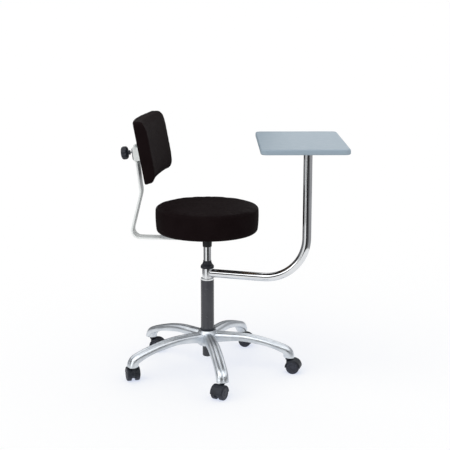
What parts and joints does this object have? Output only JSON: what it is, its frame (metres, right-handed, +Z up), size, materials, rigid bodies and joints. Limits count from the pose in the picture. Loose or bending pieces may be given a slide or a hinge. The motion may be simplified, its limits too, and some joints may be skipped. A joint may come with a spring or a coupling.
{
  "type": "physician stool with laptop desk",
  "caption": "Height-adjustable round padded stool on a star base with twin-wheel casters, with a curved backrest and a small desk on a swinging bent-tube arm.",
  "frame": {"origin": "on the floor, under the axis of the column", "axes": "+Z up along the column, +X the way the seat faces and along one leg of the base, +Y the sitter's left"},
  "size_m": [0.849, 0.6635, 0.9685],
  "materials": {
    "cast_aluminium": "polished cast",
    "bright_steel": "zinc plated",
    "slate_paint": "satin powder coat",
    "black_paint": "satin powder coat",
    "pale_paint": "satin powder coat",
    "chrome": "bright plated",
    "nylon": "moulded",
    "black_plastic": "fine moulded grain",
    "wheel_plastic": "moulded",
    "black_rubber": "moulded",
    "plywood": "raw",
    "black_vinyl": "vinyl-coated, fine grain, satin",
    "grey_laminate": "matt laminate"
  },
  "bodies": {
    "base": {"star_base": "cast_aluminium", "caster_stems": "bright_steel", "column_tube": "slate_paint", "hub_ring": "black_plastic", "guide_bush": "nylon", "collar_washer": "chrome", "column_cap": "black_plastic", "thrust_bearing": "bright_steel"},
    "swivel": {"piston_rod": "bright_steel", "rod_clip": "bright_steel", "lift_buffer": "black_rubber"},
    "seat": {"pressure_tube": "chrome", "rod_gland": "nylon", "seat_socket": "black_paint", "seat_plate": "black_paint", "plate_bolts": "bright_steel", "seat_board": "plywood", "seat_cushion": "black_vinyl", "back_bar": "pale_paint", "bar_hanger": "bright_steel", "bar_bolts": "bright_steel", "lever_pin": "bright_steel"},
    "lever": {"lever_rod": "bright_steel", "lever_grip": "black_plastic"},
    "button": {"release_button": "bright_steel"},
    "backrest": {"back_clamp": "pale_paint", "clamp_cover": "black_plastic", "clamp_plate": "pale_paint", "back_shell": "black_plastic", "back_pad": "black_vinyl", "shell_screws": "bright_steel"},
    "knob": {"clamp_knob": "black_plastic", "knob_stud": "bright_steel"},
    "arm": {"arm_collar": "chrome", "arm_tube": "chrome", "post_bush": "nylon"},
    "desk": {"desk_flange": "black_paint", "desk_board": "grey_laminate", "desk_screws": "bright_steel"},
    "caster_1": {"caster_1_hood": "black_plastic", "caster_1_axle": "bright_steel"},
    "wheel_1_left": {"caster_1_wheel_left": "wheel_plastic"},
    "wheel_1_right": {"caster_1_wheel_right": "wheel_plastic"},
    "caster_2": {"caster_2_hood": "black_plastic", "caster_2_axle": "bright_steel"},
    "wheel_2_left": {"caster_2_wheel_left": "wheel_plastic"},
    "wheel_2_right": {"caster_2_wheel_right": "wheel_plastic"},
    "caster_3": {"caster_3_hood": "black_plastic", "caster_3_axle": "bright_steel"},
    "wheel_3_left": {"caster_3_wheel_left": "wheel_plastic"},
    "wheel_3_right": {"caster_3_wheel_right": "wheel_plastic"},
    "caster_4": {"caster_4_hood": "black_plastic", "caster_4_axle": "bright_steel"},
    "wheel_4_left": {"caster_4_wheel_left": "wheel_plastic"},
    "wheel_4_right": {"caster_4_wheel_right": "wheel_plastic"},
    "caster_5": {"caster_5_hood": "black_plastic", "caster_5_axle": "bright_steel"},
    "wheel_5_left": {"caster_5_wheel_left": "wheel_plastic"},
    "wheel_5_right": {"caster_5_wheel_right": "wheel_plastic"}
  },
  "joints": [
    {"name": "column_swivel", "type": "hinge", "parent": "base", "child": "swivel", "pos_m": [0, 0, 0.06], "axis": [0, 0, 1], "continuous": true},
    {"name": "seat_lift", "type": "slide", "parent": "swivel", "child": "seat", "axis": [0, 0, 1], "range_m": [-0.05, 0.08]},
    {"name": "lever_pivot", "type": "hinge", "parent": "seat", "child": "lever", "pos_m": [0, 0.027, 0.5268], "axis": [1, 0, 0], "range_deg": [0, 5.5], "stiffness_Nm_per_rad": 2},
    {"name": "button_press", "type": "slide", "parent": "seat", "child": "button", "axis": [0, 0, -1], "range_m": [0, 0.0028]},
    {"name": "back_height", "type": "slide", "parent": "seat", "child": "backrest", "axis": [-0.1219, 0, 0.9925], "range_m": [-0.06, 0.03]},
    {"name": "knob_turn", "type": "hinge", "parent": "backrest", "child": "knob", "pos_m": [-0.28641, 0, 0.82912], "axis": [-0.9925, 0, -0.1219], "continuous": true},
    {"name": "arm_swing", "type": "hinge", "parent": "swivel", "child": "arm", "pos_m": [0, 0, 0.3788], "axis": [0, 0, 1], "range_deg": [-66, 84]},
    {"name": "desk_swivel", "type": "hinge", "parent": "arm", "child": "desk", "pos_m": [0.37402, -0.06125, 0.86], "axis": [0, 0, 1], "continuous": true},
    {"name": "caster_1_swivel", "type": "hinge", "parent": "base", "child": "caster_1", "pos_m": [0.3075, 0, 0.05], "axis": [0, 0, 1], "continuous": true},
    {"name": "wheel_1_left_roll", "type": "hinge", "parent": "caster_1", "child": "wheel_1_left", "pos_m": [0.32735, -0.00244, 0.025], "axis": [0.1219, 0.9925, 0], "continuous": true},
    {"name": "wheel_1_right_roll", "type": "hinge", "parent": "caster_1", "child": "wheel_1_right", "pos_m": [0.32735, -0.00244, 0.025], "axis": [0.1219, 0.9925, 0], "continuous": true},
    {"name": "caster_2_swivel", "type": "hinge", "parent": "base", "child": "caster_2", "pos_m": [0.09502, 0.29245, 0.05], "axis": [0, 0, 1], "continuous": true},
    {"name": "wheel_2_left_roll", "type": "hinge", "parent": "caster_2", "child": "wheel_2_left", "pos_m": [0.11459, 0.28829, 0.025], "axis": [0.2079, 0.9781, 0], "continuous": true},
    {"name": "wheel_2_right_roll", "type": "hinge", "parent": "caster_2", "child": "wheel_2_right", "pos_m": [0.11459, 0.28829, 0.025], "axis": [0.2079, 0.9781, 0], "continuous": true},
    {"name": "caster_3_swivel", "type": "hinge", "parent": "base", "child": "caster_3", "pos_m": [-0.24877, 0.18074, 0.05], "axis": [0, 0, 1], "continuous": true},
    {"name": "wheel_3_left_roll", "type": "hinge", "parent": "caster_3", "child": "wheel_3_left", "pos_m": [-0.22878, 0.18005, 0.025], "axis": [0.0349, 0.9994, 0], "continuous": true},
    {"name": "wheel_3_right_roll", "type": "hinge", "parent": "caster_3", "child": "wheel_3_right", "pos_m": [-0.22878, 0.18005, 0.025], "axis": [0.0349, 0.9994, 0], "continuous": true},
    {"name": "caster_4_swivel", "type": "hinge", "parent": "base", "child": "caster_4", "pos_m": [-0.24877, -0.18074, 0.05], "axis": [0, 0, 1], "continuous": true},
    {"name": "wheel_4_left_roll", "type": "hinge", "parent": "caster_4", "child": "wheel_4_left", "pos_m": [-0.25659, -0.16233, 0.025], "axis": [-0.9205, -0.3907, 0], "continuous": true},
    {"name": "wheel_4_right_roll", "type": "hinge", "parent": "caster_4", "child": "wheel_4_right", "pos_m": [-0.25659, -0.16233, 0.025], "axis": [-0.9205, -0.3907, 0], "continuous": true},
    {"name": "caster_5_swivel", "type": "hinge", "parent": "base", "child": "caster_5", "pos_m": [0.09502, -0.29245, 0.05], "axis": [0, 0, 1], "continuous": true},
    {"name": "wheel_5_left_roll", "type": "hinge", "parent": "caster_5", "child": "wheel_5_left", "pos_m": [0.08753, -0.31099, 0.025], "axis": [0.9272, -0.3746, 0], "continuous": true},
    {"name": "wheel_5_right_roll", "type": "hinge", "parent": "caster_5", "child": "wheel_5_right", "pos_m": [0.08753, -0.31099, 0.025], "axis": [0.9272, -0.3746, 0], "continuous": true}
  ],
  "couplings": [
    {"joint": "button_press", "follows": "lever_pivot", "m_per_rad": 0.028}
  ]
}
